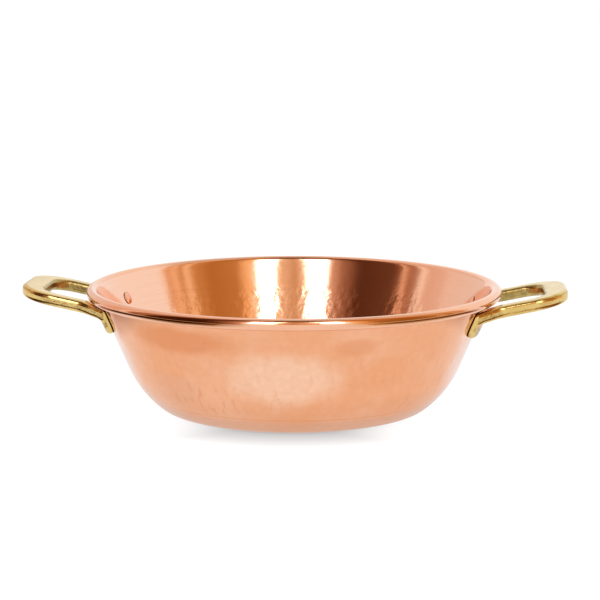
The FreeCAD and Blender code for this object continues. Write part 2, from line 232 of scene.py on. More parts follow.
# %% Floor
floor_half = 20.0
floor_tone = 0.12
camera_lift = 0.95
camera_least = 0.45
mirror_lift = 0.84
mirror_least = 0.84
contact_reach = 0.028
shadow_full, shadow_none = 0.020, 0.085


def own_light(tree):
    """The brightness that the floor adds, for camera rays and for rays from metal or glass.

    It falls to its least value where the pan stands close over the floor, which paints the contact
    shadow. For the camera this painted shadow fades out to the left and right of the pan.
    """
    path = add(tree, "ShaderNodeLightPath").outputs
    mirrored = calc(tree, "MAXIMUM", path["Is Glossy Ray"], path["Is Transmission Ray"])
    openness = add(tree, "ShaderNodeAmbientOcclusion", {"Distance": contact_reach}, samples=8).outputs["AO"]
    sideways = xyz(tree, add(tree, "ShaderNodeTexCoord").outputs["Object"])["X"]
    lit = remap(tree, calc(tree, "ABSOLUTE", sideways), shadow_full, shadow_none)
    for_camera = remap(tree, calc(tree, "MAXIMUM", openness, lit), 0.0, 1.0,
                       camera_lift * camera_least, camera_lift, kind="LINEAR")
    for_mirror = remap(tree, openness, 0.0, 1.0, mirror_lift * mirror_least, mirror_lift, kind="LINEAR")
    seen = times(tree, path["Is Camera Ray"], for_camera)
    return calc(tree, "MAXIMUM", seen, times(tree, mirrored, for_mirror))


def make_floor():
    mesh = bpy.data.meshes.new("floor")
    corners = [(x * floor_half, y * floor_half, 0) for x, y in ((-1, -1), (1, -1), (1, 1), (-1, 1))]
    mesh.from_pydata(corners, [], [(0, 1, 2, 3)])
    material, tree, shader = new_material("white_floor")
    feed(tree, shader, {
        "Base Color": (floor_tone, floor_tone, floor_tone, 1), "Roughness": 1.0, "Specular IOR Level": 0.0,
        "Emission Color": (1, 1, 1, 1), "Emission Strength": own_light(tree)})
    mesh.materials.append(material)
    return in_scene("floor", mesh)


floor = make_floor()
print("floor", floor_half * 2, "metres wide")

# %% [markdown]
# ## The light of the studio
#
# Polished metal has almost no look of its own: it shows what stands round it. So the light is
# planned by looking at the photograph's reflections. The inside of the far wall shows two tall
# white lamps in front of the pan, brown darkness to the left of the camera, and a duller zone to
# the right. Everything behind the pan is white.
# A white world gives the even light. Its top is dimmer, as a ceiling is, and the rolled rim shows a
# brown patch over the front of the pan, so the world has one there.

# %% World
side_light = 1.0
ceiling_light = 0.66
ceiling_starts = 0.66
ceiling_full = 0.86
patch_colour = (0.24, 0.13, 0.06, 1)
patch_azimuth = 5.0
patch_elevation = 74.0
patch_radius = 24.0
patch_fade = 5.0

world = bpy.data.worlds.new("studio")
world.use_nodes = True
bpy.context.scene.world = world
sky = world.node_tree
direction = add(sky, "ShaderNodeTexCoord").outputs["Generated"]
even = remap(sky, xyz(sky, direction)["Z"], ceiling_starts, ceiling_full, side_light, ceiling_light)
patch_tilt = math.radians(patch_elevation)
patch_middle = turned(patch_azimuth, math.cos(patch_tilt), math.sin(patch_tilt))
toward_patch = add(sky, "ShaderNodeVectorMath", {0: direction, 1: patch_middle}, operation="DOT_PRODUCT")
in_patch = remap(sky, toward_patch.outputs["Value"], math.cos(math.radians(patch_radius)),
                 math.cos(math.radians(patch_radius - patch_fade)))
white = add(sky, "ShaderNodeCombineColor", {0: even, 1: even, 2: even}).outputs[0]
feed(sky, sky.nodes["Background"], {"Color": blend(sky, in_patch, white, patch_colour), "Strength": 1.0})
print("patch overhead", patch_radius * 2, "degrees wide")

# %% Two tall lamps
# Each row has a name, an azimuth, an elevation, a width and a brightness.
lamp_distance = 1.5
lamp_height = 0.95
lamps = [
    ("left_lamp", -13.0, 40.0, 0.36, 3.2),
    ("right_lamp", 25.0, 40.0, 0.30, 3.2),
]


def make_lamp(name, azimuth, elevation, width, brightness):
    """A soft box that faces the pan. Brightness 1 looks white in a mirror."""
    data = bpy.data.lights.new(name, "AREA")
    data.shape = "RECTANGLE"
    data.size = width
    data.size_y = lamp_height
    data.energy = brightness * math.pi * width * lamp_height
    lamp = in_scene(name, data)
    tilt = math.radians(elevation)
    lamp.location = turned(azimuth, lamp_distance * math.cos(tilt), lamp_distance * math.sin(tilt))
    lamp.rotation_euler = (math.radians(90 - elevation), 0, math.radians(azimuth))
    lamp.visible_camera = False


for lamp_row in lamps:
    make_lamp(*lamp_row)
print(len(lamps), "lamps", lamp_distance, "metres away")

# %% [markdown]
# ## Cards beside the lamps
#
# Photographers stand dark or coloured cards beside a shiny object, so that it shows dark stripes
# next to the bright ones and looks like metal. Here each card is a curved panel on a circle
# round the pan. The cards are seen in the metal and nowhere else: the camera looks through them
# and the floor isn't shaded by them. Each card's colour changes along its width, as the stripes do
# in the photograph. The two wide ones lean in over the pan and have a partner on the floor.

# %% Cards
# Each row has a name, the azimuths of both ends, a profile and the shades from end to end.
card_distance = 1.1
card_columns = 36
standing = [(card_distance, MM), (card_distance, 1.7)]
raised = [(card_distance, 0.24), (card_distance, 1.7)]
leaning = standing + [(0.45, 2.6)]
near_floor = [(0.20, MM), (0.260, MM), (0.50, MM)]
cards = [
    ("brown_card", -160.0, -21.0, leaning, [
        (0.00, (0.85, 0.76, 0.72)), (0.16, (0.86, 0.77, 0.72)), (0.30, (0.88, 0.74, 0.68)),
        (0.36, (0.82, 0.61, 0.52)), (0.43, (0.80, 0.57, 0.46)), (0.475, (1.00, 0.88, 0.78)),
        (0.518, (0.46, 0.23, 0.14)), (0.547, (0.40, 0.18, 0.10)), (0.583, (0.86, 0.52, 0.34)),
        (0.61, (0.22, 0.085, 0.04)), (0.65, (0.13, 0.045, 0.017)), (0.82, (0.10, 0.030, 0.010)),
        (0.90, (0.30, 0.13, 0.065)), (0.96, (0.56, 0.30, 0.18)), (1.00, (0.85, 0.58, 0.42))]),
    ("brown_floor", -118.0, -28.0, near_floor, [
        (0.00, (1.00, 1.00, 1.00)), (0.15, (0.45, 0.22, 0.12)), (0.35, (0.07, 0.02, 0.005)),
        (0.85, (0.06, 0.018, 0.004)), (1.00, (0.50, 0.28, 0.15))]),
    ("cream_card", -5.5, 18.5, raised, [
        (0.00, (0.92, 0.70, 0.46)), (0.40, (0.64, 0.38, 0.19)), (0.62, (0.78, 0.53, 0.33)),
        (1.00, (0.90, 0.66, 0.42))]),
    ("amber_card", 34.0, 108.0, leaning, [
        (0.00, (1.00, 0.80, 0.50)), (0.08, (0.98, 0.58, 0.26)), (0.20, (0.54, 0.25, 0.07)),
        (0.44, (0.49, 0.21, 0.05)), (0.60, (0.60, 0.29, 0.09)), (0.70, (0.98, 0.68, 0.40)),
        (0.76, (0.66, 0.36, 0.16)), (0.82, (0.95, 0.62, 0.36)), (0.90, (0.80, 0.46, 0.25)),
        (0.96, (1.00, 0.86, 0.74)), (1.00, (1.00, 1.00, 1.00))]),
    ("amber_floor", 36.0, 112.0, near_floor, [
        (0.00, (0.80, 0.45, 0.20)), (0.20, (0.28, 0.11, 0.03)), (0.75, (0.24, 0.09, 0.02)),
        (1.00, (1.00, 1.00, 1.00))]),
]


def card_material(name, shades):
    """A glow whose colour changes along the card, and is white where the card fades in."""
    material, tree, _ = new_material(name)
    ramp = add(tree, "ShaderNodeValToRGB", {"Fac": own_value(tree, "across")})
    stops = ramp.color_ramp.elements
    ramp.color_ramp.interpolation = "EASE"
    while len(stops) < len(shades):
        stops.new(0.5)
    for stop, (position, colour) in zip(stops, shades):
        stop.position = position
        stop.color = (*colour, 1)
    colour = blend(tree, own_value(tree, "faded"), ramp.outputs["Color"], (1, 1, 1, 1))
    glow = add(tree, "ShaderNodeEmission", {"Color": colour, "Strength": 1.0})
    tree.links.new(glow.outputs[0], tree.nodes["Material Output"].inputs["Surface"])
    return material


def make_card(name, start, end, profile, shades):
    """A curved panel from one azimuth to another. The profile's points are radii and heights.

    A card on the floor starts white at its edge and takes on its colour over the first stretch.
    """
    points, across, faded = [], [], []
    for column in range(card_columns + 1):
        part = column / card_columns
        points += [turned(start + (end - start) * part, radius, level) for radius, level in profile]
        across += [part] * len(profile)
        faded += [1.0 if spot == near_floor[0] else 0.0 for spot in profile]
    rows = len(profile)
    faces = [(rows * n + k, rows * n + k + 1, rows * (n + 1) + k + 1, rows * (n + 1) + k)
             for n in range(card_columns) for k in range(rows - 1)]
    mesh = bpy.data.meshes.new(name)
    mesh.from_pydata(points, [], faces)
    carry(mesh, "across", "FLOAT", across)
    carry(mesh, "faded", "FLOAT", faded)
    mesh.materials.append(card_material(name, shades))
    card = in_scene(name, mesh)
    card.visible_camera = False
    card.visible_diffuse = False
    card.visible_shadow = False
    return card


for card_row in cards:
    make_card(*card_row)
print(len(cards), "cards")

# %% [markdown]
# ## The section of the copper sheet
#
# A jam pan is spun: a disc of copper is pressed over a turning form, so the whole bowl follows
# one section. The section goes out along the underside of the base, up the outer face, round the
# rolled rim to the sheet's edge, and back down the inside. Round stretches are arcs.
# Each point also keeps its distance along the sheet, so that a pattern can follow the metal.

# %% Section of the sheet
sheet = 1.5 * MM
bead_gap = 0.3 * MM
wall_lean = math.radians(23.0)
shoulder_radius = 70.0 * MM
shoulder_lean = math.radians(52.5)
corner_radius = 12.0 * MM
steps_base, steps_corner, steps_shoulder, steps_wall, steps_roll = 6, 5, 15, 25, 22


def on_arc(centre, radius, angles):
    return [(centre[0] + radius * math.cos(a), centre[1] + radius * math.sin(a)) for a in angles]


def spread(start, end, steps):
    """Even steps from start to end, both ends included."""
    return [start + (end - start) * step / steps for step in range(steps + 1)]


def sheet_face(depth):
    """One face of base, bends and wall, from the axis to the rim, at a depth inside the outer face."""
    corner_centre, shoulder_centre = section_centres()
    corner_angles = spread(-math.pi / 2, -shoulder_lean, steps_corner)
    shoulder_angles = spread(-shoulder_lean, -wall_lean, steps_shoulder)
    base = [(radius, depth) for radius in spread(0.0, corner_centre[0], steps_base)]
    corner = on_arc(corner_centre, corner_radius - depth, corner_angles)
    shoulder = on_arc(shoulder_centre, shoulder_radius - depth, shoulder_angles)
    wall_top = on_arc(bead_centre, bead_radius - sheet + depth, [math.pi - wall_lean])[0]
    wall_radii = spread(shoulder[-1][0], wall_top[0], steps_wall)
    wall_heights = spread(shoulder[-1][1], wall_top[1], steps_wall)
    wall = list(zip(wall_radii, wall_heights))
    return base + corner[1:] + shoulder[1:] + wall[1:]


def section_centres():
    """Centres of the base bend and of the shoulder bend, found from the rim downwards."""
    inward = Vector((-math.cos(wall_lean), math.sin(wall_lean)))
    down_wall = Vector((-math.sin(wall_lean), -math.cos(wall_lean)))
    wall_top = Vector(bead_centre) + inward * (bead_radius - sheet)
    shoulder_height = corner_radius + (shoulder_radius - corner_radius) * math.sin(shoulder_lean)
    wall_rise = wall_top.y + shoulder_radius * math.sin(wall_lean) - shoulder_height
    shoulder_centre = wall_top + down_wall * (wall_rise / math.cos(wall_lean)) + inward * shoulder_radius
    down_shoulder = Vector((math.cos(shoulder_lean), -math.sin(shoulder_lean)))
    return shoulder_centre + down_shoulder * (shoulder_radius - corner_radius), shoulder_centre


bead_centre = (rim_radius - bead_radius, pan_height - bead_radius)
outer_face = sheet_face(0.0)
inner_face = sheet_face(sheet)
opening = math.acos((bead_radius - sheet - bead_gap) / bead_radius)
roll_start = math.pi - wall_lean
roll_end = roll_start + opening - 2 * math.pi
roll_inside = on_arc(bead_centre, bead_radius - sheet, spread(roll_start, roll_end, steps_roll // 2))[1:]
roll_outside = on_arc(bead_centre, bead_radius, spread(roll_end, roll_start, steps_roll))[:-1]
section = outer_face + roll_inside + roll_outside + inner_face[::-1]

along = [0.0]
for before, after in zip(outer_face, outer_face[1:]):
    along.append(along[-1] + math.dist(before, after))
rim_along = [along[-1]] * (len(roll_inside) + len(roll_outside))
section_along = along + rim_along + along[::-1]
section_inside = [0.0] * len(outer_face) + [0.5] * len(rim_along) + [1.0] * len(inner_face)
print(len(section), "points in the section,", round(along[-1] / MM, 1), "mm from the axis to the rim")

# %% [markdown]
# ## Spinning the section
#
# Turning a section round an axis is what a lathe or a spinning bench does. Blender's Spin tool or
# Screw modifier would do it too. Geometry Nodes are used here, because the same tree can carry the
# section's own measures on to every point of the bowl, and the hammering needs them.
# A flat grid is made with one row for each point of the section and one column for each step
# round. Each grid point looks up its section point and is carried to its place on the circle.
# Merge by Distance then closes the seam, and both centres of the base.

# %% Spin group
def named(tree, name, kind="FLOAT"):
    """What a mesh carries at each point, for a Geometry Nodes tree."""
    return add(tree, "GeometryNodeInputNamedAttribute", {"Name": name}, data_type=kind).outputs[0]


def stored(tree, mesh, name, value):
    """A mesh that carries one more value."""
    node = add(tree, "GeometryNodeStoreNamedAttribute",
               {"Geometry": mesh, "Name": name, "Value": value}, domain="POINT", data_type="FLOAT")
    return node.outputs[0]


def looked_up(tree, mesh, value, row, kind="FLOAT"):
    """A value of one point of a mesh."""
    inputs = {"Geometry": mesh, "Value": value, "Index": row}
    return add(tree, "GeometryNodeSampleIndex", inputs, data_type=kind, clamp=True).outputs["Value"]


def make_spin_group():
    tree, take, result = new_group("spin_section", "GeometryNodeTree",
        {"Section": "Geometry", "Steps round": 64},
        {"Geometry": "Geometry", "Along": "Float", "Turn": "Float"})
    section_in, columns = take["Section"], plus(tree, take["Steps round"], 1.0)
    count = add(tree, "GeometryNodeAttributeDomainSize", {"Geometry": section_in}).outputs["Point Count"]
    kept = add(tree, "GeometryNodeMeshGrid", {"Size X": 1.0, "Size Y": 1.0, "Vertices X": columns,
                                              "Vertices Y": count}).outputs["Mesh"]
    position = add(tree, "GeometryNodeInputPosition").outputs[0]
    here = xyz(tree, position)
    turn = plus(tree, here["X"], 0.5)
    row = calc(tree, "ROUND", times(tree, plus(tree, here["Y"], 0.5), minus(tree, count, 1.0)))
    spot = xyz(tree, looked_up(tree, section_in, position, row, "FLOAT_VECTOR"))
    kept = stored(tree, kept, "turn", turn)
    for name in ("along", "inside"):
        kept = stored(tree, kept, name, looked_up(tree, section_in, named(tree, name), row))
    angle = times(tree, turn, 2 * math.pi)
    place = add(tree, "ShaderNodeCombineXYZ", {
        "X": times(tree, spot["X"], calc(tree, "COSINE", angle)),
        "Y": times(tree, spot["X"], calc(tree, "SINE", angle)), "Z": spot["Z"]}).outputs[0]
    placed = add(tree, "GeometryNodeSetPosition", {"Geometry": kept, "Position": place}).outputs[0]
    closed = add(tree, "GeometryNodeMergeByDistance",
                 {"Geometry": placed, "Distance": 0.002 * MM}).outputs[0]
    smooth = add(tree, "GeometryNodeSetShadeSmooth", {"Geometry": closed, "Shade Smooth": True}).outputs[0]
    feed(tree, result, {"Geometry": smooth, "Along": named(tree, "along"), "Turn": named(tree, "turn")})
    return tree


spin_group = make_spin_group()
print("made", spin_group.name)

# %% [markdown]
# ## The hammer marks
#
# After spinning, the wall is hammered in rings against a steel stake, which hardens the copper.
# Each blow leaves a shallow oval dish, and neighbouring dishes meet in a soft ridge.
# Random noise would look like a dented sheet, so the marks are laid out as the work is done: in
# rings of equal steps, every second ring shifted by half a step, each blow a little off its place.
# A mark is a dish whose depth falls with the square of the distance from its middle. A point of
# the sheet takes the nearest of nine marks: the one whose place it lies in, and the eight round it.
# Voronoi Texture could scatter such cells too, but it knows no rings and doesn't close on itself.

# %% One mark
def make_mark_group():
    tree, take, result = new_group("one_mark", "GeometryNodeTree",
        {"Row place": 0.0, "Turn": 0.0, "Row step": 0, "Side step": 0, "Marks round": 100,
         "Length": 1.5, "Lean": 0.3, "Stray": 0.2, "Seed": 0},
        {"Distance": "Float"})
    row = plus(tree, calc(tree, "FLOOR", take["Row place"]), take["Row step"])
    shift = times(tree, calc(tree, "FLOORED_MODULO", row, 2.0), 0.5)
    side_place = plus(tree, times(tree, take["Turn"], take["Marks round"]), shift)
    cell = plus(tree, calc(tree, "FLOOR", side_place), take["Side step"])
    wrapped = calc(tree, "FLOORED_MODULO", cell, take["Marks round"])
    name = add(tree, "ShaderNodeCombineXYZ", {"X": wrapped, "Y": row, "Z": take["Seed"]}).outputs[0]
    chance = add(tree, "ShaderNodeTexWhiteNoise", {"Vector": name}, noise_dimensions="3D").outputs["Color"]
    chance = xyz(tree, chance)
    stray_side = times(tree, minus(tree, chance["X"], 0.5), take["Stray"])
    stray_row = times(tree, minus(tree, chance["Y"], 0.5), take["Stray"])
    side = minus(tree, side_place, plus(tree, plus(tree, cell, 0.5), stray_side))
    rise = minus(tree, take["Row place"], plus(tree, plus(tree, row, 0.5), stray_row))
    side = plus(tree, side, times(tree, rise, take["Lean"]))
    rise = calc(tree, "DIVIDE", rise, take["Length"])
    feed(tree, result, {"Distance": plus(tree, times(tree, side, side), times(tree, rise, rise))})
    return tree


mark_group = make_mark_group()

# %% The whole hammered surface
ridge_share = 0.30


def fade_in(tree, start, end, fade):
    """A value that rises from 0 to 1 while end moves from start to one length of fade past it."""
    return remap(tree, calc(tree, "DIVIDE", minus(tree, end, start), fade), 0.0, 1.0)


def finished(tree, mesh, metal):
    """Real mesh in its metal, as the trees of the bowl and of the rivets both end."""
    whole = add(tree, "GeometryNodeRealizeInstances", {"Geometry": mesh}).outputs[0]
    return add(tree, "GeometryNodeSetMaterial", {"Geometry": whole, "Material": metal}).outputs[0]


def make_hammer_group():
    tree, take, result = new_group("hammered_bowl", "GeometryNodeTree",
        {"Section": "Geometry", "Steps round": 660, "Marks round": 110, "Row height": 0.01,
         "Mark length": 1.6, "Mark lean": 0.3, "Mark depth": 0.00005, "Stray": 0.3, "Seed": 3,
         "First mark": 0.1, "Last mark": 0.2, "Fade": 0.01, "Metal": "Material"},
        {"Geometry": "Geometry"})
    section_in, steps = take["Section"], take["Steps round"]
    spun = use_group(tree, spin_group, {"Section": section_in, "Steps round": steps})
    row_place = calc(tree, "DIVIDE", spun["Along"], take["Row height"])
    nearest = None
    for row_step in (-1, 0, 1):
        for side_step in (-1, 0, 1):
            mark = use_group(tree, mark_group, {
                "Row place": row_place, "Turn": spun["Turn"], "Row step": row_step, "Side step": side_step,
                "Marks round": take["Marks round"], "Length": take["Mark length"],
                "Lean": take["Mark lean"], "Stray": take["Stray"], "Seed": take["Seed"]})[0]
            nearest = mark if nearest is None else calc(tree, "MINIMUM", nearest, mark)
    dish = calc(tree, "MAXIMUM", minus(tree, 1.0, times(tree, nearest, 4.0)), 0.0)
    starts = fade_in(tree, take["First mark"], spun["Along"], take["Fade"])
    zone = times(tree, starts, fade_in(tree, spun["Along"], take["Last mark"], take["Fade"]))
    ridge = times(tree, falls(tree, dish, 0.0, ridge_share), zone)
    inward = times(tree, times(tree, dish, zone), times(tree, take["Mark depth"], -1.0))
    normal = add(tree, "GeometryNodeInputNormal").outputs[0]
    offset = add(tree, "ShaderNodeVectorMath", {0: normal, "Scale": inward}, operation="SCALE").outputs[0]
    marked = stored(tree, spun["Geometry"], "ridge", ridge)
    dished = add(tree, "GeometryNodeSetPosition", {"Geometry": marked, "Offset": offset}).outputs[0]
    feed(tree, result, {"Geometry": finished(tree, dished, take["Metal"])})
    return tree


hammer_group = make_hammer_group()
print("made", hammer_group.name)

# %% [markdown]
# ## Effects that the metals share
#
# Copper and brass go duller in the same ways: in soft clouds, stains and specks, along polishing
# lines, and with grime in a joint. Each effect is a shader node group, built once, and a metal
# takes the ones that it needs, with values of its own.
# A group gives out only masks and heights. The shader itself stays in the material.

# %% Patches group
def make_patches_group():
    """Soft clouds: where the metal has been rubbed more, or has gone duller."""
    tree, take, result = new_group("patches", "ShaderNodeTree",
        {"Vector": "Vector", "Size": 0.04, "Contrast": 0.5},
        {"Mask": "Float"})
    cloud = noise(tree, take["Vector"], calc(tree, "DIVIDE", 1.0, take["Size"]), 4.0, 0.55)
    half = times(tree, minus(tree, 1.0, take["Contrast"]), 0.5)
    feed(tree, result, {"Mask": remap(tree, cloud, half, minus(tree, 1.0, half))})
    return tree


patches_group = make_patches_group()

# %% Stain group
stain_full, stain_end = 0.45, 1.05


def make_stain_group():
    """One oval stain round a centre, with an uneven edge."""
    tree, take, result = new_group("stain", "ShaderNodeTree",
        {"Vector": "Vector", "Centre": "Vector", "Width": 0.03, "Height": 0.02, "Unevenness": 0.5},
        {"Mask": "Float"})
    away = add(tree, "ShaderNodeVectorMath", {0: take["Vector"], 1: take["Centre"]}, operation="SUBTRACT")
    size = add(tree, "ShaderNodeCombineXYZ", {"X": take["Width"], "Y": take["Width"], "Z": take["Height"]})
    shaped = add(tree, "ShaderNodeVectorMath", {0: away.outputs[0], 1: size.outputs[0]}, operation="DIVIDE")
    distance = length(tree, shaped.outputs[0])
    edge = noise(tree, take["Vector"], 70.0, 4.0)
    uneven = times(tree, minus(tree, edge, 0.5), take["Unevenness"])
    feed(tree, result, {"Mask": falls(tree, plus(tree, distance, uneven), stain_full, stain_end)})
    return tree


stain_group = make_stain_group()

# %% Polishing lines group
def make_polish_group():
    """Fine lines that run the way the polishing wheel went: thin one way, long the other way."""
    tree, take, result = new_group("polishing_lines", "ShaderNodeTree",
        {"Across": 0.0, "Lengthwise": 0.0, "Line width": 0.0004},
        {"Height": "Float"})
    across = calc(tree, "DIVIDE", take["Across"], take["Line width"])
    spot = add(tree, "ShaderNodeCombineXYZ", {"X": across, "Y": take["Lengthwise"]}).outputs[0]
    feed(tree, result, {"Height": noise(tree, spot, 1.0, 2.0, 0.6)})
    return tree


polish_group = make_polish_group()

# %% Specks group
def make_specks_group():
    """Tiny dark spots, far apart, as tarnish starts on clean metal."""
    tree, take, result = new_group("specks", "ShaderNodeTree",
        {"Vector": "Vector", "Spacing": 0.012, "Speck size": 0.05},
        {"Mask": "Float"})
    scale = calc(tree, "DIVIDE", 1.0, take["Spacing"])
    cells = add(tree, "ShaderNodeTexVoronoi", {"Vector": take["Vector"], "Scale": scale})
    chance = add(tree, "ShaderNodeSeparateColor", {0: cells.outputs["Color"]}).outputs[0]
    size = times(tree, take["Speck size"], chance)
    feed(tree, result, {"Mask": falls(tree, cells.outputs["Distance"], times(tree, size, 0.4), size)})
    return tree


specks_group = make_specks_group()

# %% Crevice group
def make_crevice_group():
    """Painted shade where a foot meets the pan: dark within a reach of the wall's outer face."""
    tree, take, result = new_group("crevice", "ShaderNodeTree",
        {"Vector": "Vector", "Wall radius": 0.1, "Wall slope": 0.4, "Reach": 0.001},
        {"Mask": "Float"})
    parts = xyz(tree, take["Vector"])
    flat = add(tree, "ShaderNodeCombineXYZ", {"X": parts["X"], "Y": parts["Y"]}).outputs[0]
    radius = length(tree, flat)
    wall = calc(tree, "MULTIPLY_ADD", parts["Z"], take["Wall slope"], take["Wall radius"])
    gap = minus(tree, radius, wall)
    feed(tree, result, {"Mask": falls(tree, gap, times(tree, take["Reach"], 0.6), take["Reach"])})
    return tree


crevice_group = make_crevice_group()

# %% Short ways to use the effects
def clouds(tree, spot, size, contrast):
    values = {"Vector": spot, "Size": size, "Contrast": contrast}
    return use_group(tree, patches_group, values)["Mask"]


def stain(tree, spot, centre, width, height, unevenness=0.5):
    values = {"Vector": spot, "Centre": centre, "Width": width, "Height": height, "Unevenness": unevenness}
    return use_group(tree, stain_group, values)["Mask"]


def specks(tree, spot, spacing, size):
    values = {"Vector": spot, "Spacing": spacing, "Speck size": size}
    return use_group(tree, specks_group, values)["Mask"]


def tinted(tree, mask, strength, colour, tone):
    """Lay a tone over a colour where a mask says so."""
    return blend(tree, times(tree, mask, strength), colour, tone)


def relief(tree, height, strength, distance, under=None):
    """A bump from a height, over another bump if there is one."""
    inputs = {"Height": height, "Strength": strength, "Distance": distance}
    if under is not None:
        inputs["Normal"] = under
    return add(tree, "ShaderNodeBump", inputs).outputs[0]


print("node groups:", ", ".join(group.name for group in bpy.data.node_groups))

# %% [markdown]
# ## Copper
#
# Clean copper is a warm pink where it mirrors white, and its colour turns more orange where it has
# been handled. The inside is a paler pink than the outside. Below a faint crease the outside is
# duller, because that part stands next to the flame, and darker with painted shade near the floor.
# Along the crease runs a painted dark line.
# The colour is laid on as coats, from the widest to the finest: wide clouds, stains with painted sheen
# at the sides, the duller part with its painted shade and painted crease line, the browner stretches
# of the rim, the ridges between hammer marks as painted reflection, a fine mottle, polishing lines
# and specks. Each coat is a mask and a tone. An image texture could hold all this, but it
# would need a photograph of the real pan, and it would have a limit to its sharpness.
# The larger stains and the painted sheen at the sides have places of their own, as the stains have
# on the real pan. Polishing lines run round the pan, because the wheel works while the pan turns:
# they follow the distance along the sheet, which the mesh carries as its own attribute.

# %% Colours of the copper
copper_inside = (0.965, 0.590, 0.425, 1)
copper_pink = (0.950, 0.505, 0.310, 1)
copper_orange = (0.920, 0.430, 0.225, 1)
copper_pale = (1.000, 0.640, 0.450, 1)
# A pale pink that paints sheen on the sides of the wall.
copper_painted_sheen = (0.980, 0.680, 0.560, 1)
copper_brown = (0.800, 0.300, 0.125, 1)
copper_dull = (0.780, 0.440, 0.300, 1)
copper_dark = (0.500, 0.200, 0.100, 1)

# %% Stains of the copper
# A stain or a painted sheen of the wall has a name, an azimuth, a height, half its width and half its
# tallness in millimetres, a tone and a strength. A darker patch of the rim has an azimuth, half its width
# and a tone.
wall_stains_and_sheen = [
    ("centre wipe", 1.0, 44.0, 48.0, 24.0, copper_pale, 0.95),
    ("left band", -31.0, 68.0, 54.0, 12.0, copper_brown, 0.75),
    ("right band", 22.0, 66.0, 20.0, 8.0, copper_brown, 0.45),
    ("right spot", 34.0, 46.0, 24.0, 18.0, copper_orange, 1.00),
    ("left lower", -38.0, 30.0, 30.0, 14.0, copper_dull, 0.35),
    # The next two rows are painted sheen, where the wall turns away at the sides.
    ("by left handle", -72.0, 46.0, 34.0, 46.0, copper_painted_sheen, 0.60),
    ("by right handle", 76.0, 48.0, 34.0, 46.0, copper_painted_sheen, 0.85),
    ("back wipe", 170.0, 45.0, 40.0, 20.0, copper_pale, 0.60),
    ("back band", 214.0, 66.0, 34.0, 10.0, copper_brown, 0.45),
]
rim_patch_height = 3.0 * MM
rim_patch_unevenness = 0.25
rim_dark_patches = [
    (-26.0, 54.0, (0.34, 0.13, 0.04, 1)),
    (38.0, 60.0, (0.66, 0.34, 0.15, 1)),
    (150.0, 50.0, (0.50, 0.22, 0.09, 1)),
    (222.0, 50.0, (0.60, 0.28, 0.12, 1)),
]


def wall_point(azimuth, height):
    """A point on the outer face of the sheet at a height, found on the section."""
    for (radius, level), (next_radius, next_level) in zip(outer_face, outer_face[1:]):
        if level <= height <= next_level and next_level > level:
            part = (height - level) / (next_level - level)
            return turned(azimuth, radius + (next_radius - radius) * part, height)


def rim_point(azimuth):
    """The outermost point of the rolled rim."""
    return turned(azimuth, bead_centre[0] + bead_radius, bead_centre[1])


def stained_and_sheened_wall(tree, spot, colour):
    for name, azimuth, height, width, tall, tone, strength in wall_stains_and_sheen:
        mask = stain(tree, spot, wall_point(azimuth, height * MM), width * MM, tall * MM)
        mask.node.label = name
        colour = tinted(tree, mask, strength, colour, tone)
    return colour


def darkened_rim(tree, spot, inside, colour):
    """The darker patches of the rim stay off the inside of the wall, which lies close behind it."""
    off_wall = falls(tree, inside, 0.55, 0.90)
    for azimuth, width, tone in rim_dark_patches:
        mask = stain(tree, spot, rim_point(azimuth), width * MM, rim_patch_height, rim_patch_unevenness)
        colour = tinted(tree, mask, off_wall, colour, tone)
    return colour


print(len(wall_stains_and_sheen), "stains on the wall,", len(rim_dark_patches), "on the rim")

# %% Copper's coats of colour
# Clouds have a size and a contrast.
wide_clouds = (55.0 * MM, 0.42)
small_clouds = (18.0 * MM, 0.6)
mottle_clouds = (5.0 * MM, 0.6)
crease_along = 113.0 * MM
crease_shade_width = 1.6 * MM
crease_shade_strength = 0.30
dull_fade = 5.0 * MM
dull_and_shade_strength = 0.55
seam_below, seam_full, seam_strength = 6.4 * MM, 5.2 * MM, 0.85
ripple_azimuth, ripple_height = -26.0, 25.0 * MM
ripple_width, ripple_tall = 44.0 * MM, 18.0 * MM
ridge_reflection_strength = 0.50
mottle_outside, mottle_anywhere = 0.18, 0.02
line_width, lines_round = 0.8 * MM, 9.0
line_inside, line_anywhere = 0.05, 0.035
speck_spacing, speck_size, speck_strength = 0.012, 0.075, 0.45


def ridge_painted_reflection(tree, spot, ridge, outside, small):
    """Painted reflection of the hammer marks: the ridges between them are darkened, most on one stretch low
    on the left.
    """
    rippled = stain(tree, spot, wall_point(ripple_azimuth, ripple_height), ripple_width, ripple_tall)
    where = calc(tree, "MAXIMUM", times(tree, small, 0.5), rippled)
    return times(tree, times(tree, ridge, where), times(tree, outside, ridge_reflection_strength))


